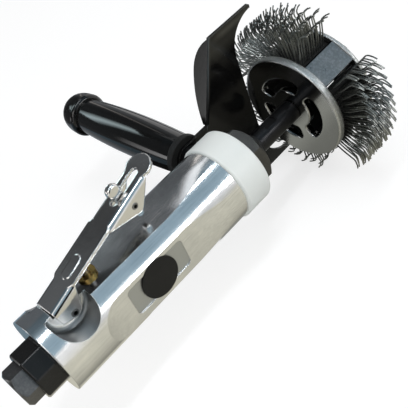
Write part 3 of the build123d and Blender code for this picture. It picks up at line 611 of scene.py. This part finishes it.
def bristles(index, centre):
    """All wires of one belt, in staggered rows, as one mesh."""
    bm = bmesh.new()
    tone = bm.verts.layers.float.new("tone")
    along = bm.verts.layers.float.new("along")
    x0, x1 = BELT_X
    pitch = (x1 - x0 - 2 * ROW_MARGIN) / (ACROSS - 1 + STAGGER)
    for row in range(ROWS):
        base = -ROW_HALF + 2 * ROW_HALF * row / (ROWS - 1)
        stagger = STAGGER * (row % 2)
        for i in range(ACROSS):
            x = x0 + ROW_MARGIN + (i + stagger) * pitch + random.gauss(0, X_STRAY)
            first = i - i % TOGETHER
            middle = (first + min(first + TOGETHER - 1, ACROSS - 1)) / 2
            pull = CLUMP[index] * (middle + STAGGER / 2 - i - stagger) * pitch
            angle = base + random.gauss(0, ROW_STRAY)
            line = wire_line(x, angle, FAN[index], LOOSE[index], pull)
            points = [polar(px, r, math.radians(centre + a)) for px, r, a in line]
            # Each belt's mean tone is painted light and shade; the random spread round it is each
            # wire's own tone.
            shade = min(1.0, max(0.0, random.gauss(BELT_PAINTED_LIGHT[index], SHADE_STRAY)))
            rings = wire_rings(bm, points)
            for k, ring in enumerate(rings):
                for v in ring:
                    v[tone] = shade
                    v[along] = k / (len(rings) - 1)
            skin(bm, rings, closed=True)
            bm.faces.new(list(reversed(rings[0])))
            bm.faces.new(rings[-1])
    obj = piece(f"bristles_{index}", bm, "wheel", wire_mat, sharp=60)
    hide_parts(f"belt_{index}")


for i in range(BELTS):
    band(i + 1, BELT_TURN + 360 / BELTS * i)
    bristles(i + 1, BELT_TURN + 360 / BELTS * i)


# Air thread inside the inlet, in millimetres

THREAD_PITCH, THREAD_TURNS = 1.41, 8.5
THREAD_STEPS = 48                          # in a turn
THREAD_START = 0.6
THREAD_WALL, THREAD_CREST = 5.62, 4.95     # radii at the ridge's foot and top
THREAD_FOOT, THREAD_TOP = 0.55, 0.12       # half widths there


def inlet_thread():
    """Helical ridge in the inlet's bore, which rises and fades over a turn."""
    bm = bmesh.new()
    last = THREAD_TURNS * THREAD_STEPS
    rings = []
    for i in range(int(last) + 1):
        a = 2 * math.pi * i / THREAD_STEPS
        x = THREAD_START + THREAD_PITCH * i / THREAD_STEPS
        deep = min(1.0, i / THREAD_STEPS, (last - i) / THREAD_STEPS)
        r = THREAD_WALL - (THREAD_WALL - THREAD_CREST) * deep
        profile = ((-THREAD_FOOT, THREAD_WALL), (-THREAD_TOP, r), (THREAD_TOP, r),
                   (THREAD_FOOT, THREAD_WALL))
        rings.append([
            bm.verts.new(Vector(((x + dx) * MM, radius * MM * math.cos(a), radius * MM * math.sin(a))))
            for dx, radius in profile])
    skin(bm, rings, closed=False)
    piece("inlet_thread", bm, "housing", bpy.data.materials["dark_plated_hex"], sharp=35)


inlet_thread()


# Valve spring


def valve_coil():
    """The solid's own coil, as a copy with a mesh of its own on the housing."""
    mesh = nodes["valve_spring"].data.copy()
    mesh.name = "valve_coil"
    obj = placed("valve_coil", mesh)
    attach(obj, "housing")
    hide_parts("valve_spring")
    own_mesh(obj)


valve_coil()


# Floor, in metres

FLOOR_HALF = 6.0
FLOOR_GAP = 0.0005         # from the floor up to the tool and to the low cards


def sheet(name, width, height):
    """Flat rectangle round its own origin."""
    w, h = width / 2, height / 2
    mesh = bpy.data.meshes.new(name)
    mesh.from_pydata([(-w, -h, 0), (w, -h, 0), (w, h, 0), (-w, h, 0)], [], [(0, 1, 2, 3)])
    return placed(name, mesh)


def shader_node(tree, kind, **values):
    """New node with some of its inputs set."""
    node = tree.nodes.new(kind)
    for key, value in values.items():
        node.inputs[key].default_value = value
    return node


def seen_plainly(tree):
    """1 for rays that show the backdrop: from the camera, off a gloss or through glass."""
    path = tree.nodes.new("ShaderNodeLightPath")
    total = path.outputs["Is Camera Ray"]
    for kind in ("Is Glossy Ray", "Is Transmission Ray"):
        most = tree.nodes.new("ShaderNodeMath")
        most.operation = "MAXIMUM"
        tree.links.new(total, most.inputs[0])
        tree.links.new(path.outputs[kind], most.inputs[1])
        total = most.outputs[0]
    return total


def backdrop_switch(tree, lit, shown, out):
    """One shader for the light that reaches the tool and another for what is seen."""
    pick = tree.nodes.new("ShaderNodeMixShader")
    tree.links.new(seen_plainly(tree), pick.inputs[0])
    tree.links.new(lit.outputs[0], pick.inputs[1])
    tree.links.new(shown.outputs[0], pick.inputs[2])
    tree.links.new(pick.outputs[0], out.inputs["Surface"])


def pale_floor():
    mat = bpy.data.materials.new("pale_floor")
    mat.use_nodes = True
    tree = mat.node_tree
    tree.nodes.clear()
    out = tree.nodes.new("ShaderNodeOutputMaterial")
    shade = shader_node(tree, "ShaderNodeBsdfDiffuse", Color=(0.40, 0.40, 0.40, 1))
    glow = shader_node(tree, "ShaderNodeEmission", Color=(1, 1, 1, 1), Strength=0.72)
    both = tree.nodes.new("ShaderNodeAddShader")
    tree.links.new(shade.outputs[0], both.inputs[0])
    tree.links.new(glow.outputs[0], both.inputs[1])
    plain = shader_node(tree, "ShaderNodeBsdfDiffuse", Color=(0.78, 0.77, 0.75, 1))
    backdrop_switch(tree, plain, both, out)
    return mat


floor = sheet("floor", 2 * FLOOR_HALF, 2 * FLOOR_HALF)
floor.location = (0.0, 0.0, cad_box[0].z - FLOOR_GAP)
floor.data.materials.append(pale_floor())


# Studio walls, cards and lamps

TARGET = Vector((0.12, 0.0, 0.0))      # about the middle of the tool


def aimed(azimuth, elevation, distance):
    """Place at a distance from the tool, the azimuth taken from X towards Y."""
    a, e = math.radians(azimuth), math.radians(elevation)
    way = Vector((math.cos(a) * math.cos(e), math.sin(a) * math.cos(e), math.sin(e)))
    return TARGET + distance * way


def face(obj, centre, aim, front):
    """Puts an object in its place, with its front towards a point."""
    obj.location = centre
    obj.rotation_mode = "QUATERNION"
    obj.rotation_quaternion = (Vector(aim) - Vector(centre)).to_track_quat(front, "Y")


def card(name, centre, width, height, tones, rise=False, aim=TARGET):
    """Studio wall or card seen only in reflections, shaded through its tones along one side."""
    obj = sheet(name, width, height)
    face(obj, centre, aim, "Z")
    mat = bpy.data.materials.new(name)
    mat.use_nodes = True
    tree = mat.node_tree
    tree.nodes.clear()
    out = tree.nodes.new("ShaderNodeOutputMaterial")
    glow = tree.nodes.new("ShaderNodeEmission")
    spot = tree.nodes.new("ShaderNodeTexCoord")
    split = tree.nodes.new("ShaderNodeSeparateXYZ")
    ramp = tree.nodes.new("ShaderNodeValToRGB")
    marks = ramp.color_ramp.elements
    while len(marks) < len(tones):
        marks.new(0.5)
    for mark, (place, _) in zip(marks, tones):
        mark.position = place
    for mark, (_, colour) in zip(marks, tones):
        mark.color = (*colour, 1)
    tree.links.new(spot.outputs["Generated"], split.inputs[0])
    tree.links.new(split.outputs["Y" if rise else "X"], ramp.inputs[0])
    tree.links.new(ramp.outputs[0], glow.inputs["Color"])
    tree.links.new(glow.outputs[0], out.inputs["Surface"])
    obj.data.materials.append(mat)
    obj.visible_camera = False
    obj.visible_diffuse = False
    obj.visible_shadow = False
    return obj


def low_card(name, x, y, tones):
    """Card lying just above the floor, between two places along X and along Y."""
    centre = Vector((sum(x) / 2, sum(y) / 2, floor.location.z + FLOOR_GAP))
    above = centre + Vector((0, 0, 1))
    obj = card(name, centre, x[1] - x[0], y[1] - y[0], tones, rise=True, aim=above)
    obj.rotation_quaternion = (1, 0, 0, 0)


def softbox(name, centre, width, height, power, colour=(1, 1, 1)):
    data = bpy.data.lights.new(name, "AREA")
    data.shape = "RECTANGLE"
    data.size = width
    data.size_y = height
    data.energy = power
    data.color = colour
    face(placed(name, data), centre, TARGET, "-Z")


def grey(level, warm=1.0):
    return (level * warm, level, level / warm)


def beige(level):
    return (level * 1.03, level, level * 0.84)


def stone(level):
    return (level, level * 1.02, level * 0.93)


def slate(level):
    return (level * 0.72, level, level * 1.2)


def even(colour):
    """The same tone all over a card."""
    return [(0.0, colour), (1.0, colour)]


def streak(colour):
    """Bright along a card's middle line and black at its sides."""
    return [(0.0, grey(0.0)), (0.5, colour), (1.0, grey(0.0))]


softbox("key", aimed(-62, 27, 1.1), 0.7, 0.11, 2.2)
softbox("top", aimed(-82, 81, 1.1), 0.9, 0.07, 3.4, (0.94, 0.97, 1.0))
softbox("fill", aimed(-165, 35, 1.1), 0.4, 0.5, 1.5, (1.0, 0.97, 0.93))

card("back_wall", aimed(100, 22, 1.4), 3.2, 1.7, [
    (0.0, grey(0.12, 0.93)), (0.35, grey(0.14, 0.93)), (0.44, grey(0.11, 0.94)),
    (0.475, grey(0.055, 0.95)), (0.52, grey(0.07, 0.96)), (0.56, grey(0.12, 0.92)),
    (0.60, grey(0.13, 0.92)), (0.67, grey(0.095, 0.94)), (0.74, grey(0.10, 0.93)),
    (0.80, grey(0.16, 0.94)), (0.92, grey(0.38, 0.95))])
card("back_window", aimed(57, 58, 1.15), 0.36, 0.36, [
    (0.0, grey(0.2)), (0.3, grey(1.0, 0.97)), (1.0, grey(1.1, 0.97))])
card("back_window_low", aimed(67, 50, 1.2), 0.14, 0.14, [
    (0.0, grey(0.2)), (0.4, grey(0.8, 0.96)), (1.0, grey(0.8, 0.96))])
card("ceiling_back", aimed(95, 73.5, 1.3), 3.0, 1.02, [
    (0.0, slate(0.10)), (0.45, slate(0.13)), (0.75, slate(0.22)), (1.0, slate(0.45))], rise=True)
card("right_wall", aimed(-65, 55, 1.2), 2.2, 1.07, [
    (0.0, slate(0.52)), (0.2, slate(0.42)), (0.8, slate(0.40)), (1.0, slate(0.52))], rise=True)
card("camera_wall", aimed(-118, 14, 1.05), 0.80, 0.85, even(grey(0.02)))
card("left_wall", aimed(172, 15, 1.2), 0.9, 0.9, even(grey(0.06)))
card("left_low", aimed(137, 4, 1.15), 0.36, 0.32, [
    (0.0, grey(5.0)), (0.4, grey(3.0)), (1.0, grey(0.3))])
card("right_low", aimed(-62, 8.5, 1.25), 1.2, 0.60, [
    (0.0, beige(0.56)), (0.25, beige(0.62)), (0.5, grey(0.68, 0.99)), (1.0, grey(0.85, 0.99))],
    rise=True)
card("streak_side", (0.117, 0.182, 0.088), 0.05, 0.075, streak((4.6, 5.6, 5.8)),
     aim=(0.147, 0.062, 0.017))
card("streak_high", aimed(60, 24, 0.9), 0.06, 0.60, streak(grey(1.4, 1.05)))

# The table's tones darken towards the tool: a painted shadow of the tool on the floor, seen in
# reflections.
low_card("table", (-0.30, 0.60), (-0.95, -0.012), [
    (0.0, beige(0.62)), (0.90, beige(0.62)), (0.93, beige(0.57)), (0.962, beige(0.50)),
    (0.985, beige(0.36)), (1.0, beige(0.20))])
low_card("table_under", (0.14, 0.23), (-0.012, 0.045), [
    (0.0, stone(0.26)), (0.50, stone(0.31)), (0.74, stone(0.46)), (0.9, stone(0.46)),
    (1.0, stone(0.2))])
low_card("handle_shade", (0.08, 0.26), (0.045, 0.125), even(grey(0.02)))
low_card("handle_ground", (0.08, 0.26), (0.125, 0.27), [
    (0.0, grey(0.36, 0.93)), (1.0, grey(0.48, 0.93))])
low_card("ground_left", (-0.30, 0.08), (-0.012, 0.27), [
    (0.0, beige(0.6)), (0.17, beige(0.55)), (0.27, slate(0.20)), (0.4, slate(0.24)),
    (1.0, slate(0.45))])
low_card("ground_back", (-1.2, 1.2), (0.27, 1.5), [
    (0.0, grey(0.16, 0.95)), (1.0, grey(0.07, 0.95))])


# World

world = bpy.data.worlds.new("studio")
scene.world = world
world.use_nodes = True
tree = world.node_tree
tree.nodes.clear()
world_out = tree.nodes.new("ShaderNodeOutputWorld")
ambient = shader_node(tree, "ShaderNodeBackground", Color=(0.96, 0.98, 1.0, 1), Strength=0.45)
backdrop = shader_node(tree, "ShaderNodeBackground", Color=(1, 1, 1, 1), Strength=1.0)
backdrop_switch(tree, ambient, backdrop, world_out)


# Camera at the photograph's viewing angle

IMAGE_WIDTH = 408.0        # the photograph's width, in pixels
FOCAL_LENGTH = 700.0       # in the same pixels
SENSOR = 36.0              # millimetres
CAMERA_PLACE = (-0.0067, -0.2496, 0.2430)
CAMERA_RIGHT = Vector((0.6523, -0.6849, -0.3249))
CAMERA_UP = Vector((0.6601, 0.3025, 0.6876))
CAMERA_AHEAD = Vector((0.3726, 0.6629, -0.6494))

camera_data = bpy.data.cameras.new("camera")
camera_data.sensor_width = SENSOR
camera_data.lens = SENSOR * FOCAL_LENGTH / IMAGE_WIDTH
camera_data.clip_start = 0.01
camera_data.clip_end = 50.0
camera = placed("camera", camera_data)
turn = Matrix((CAMERA_RIGHT, CAMERA_UP, -CAMERA_AHEAD)).transposed()
camera.matrix_world = Matrix.Translation(CAMERA_PLACE) @ turn.to_4x4()
scene.camera = camera
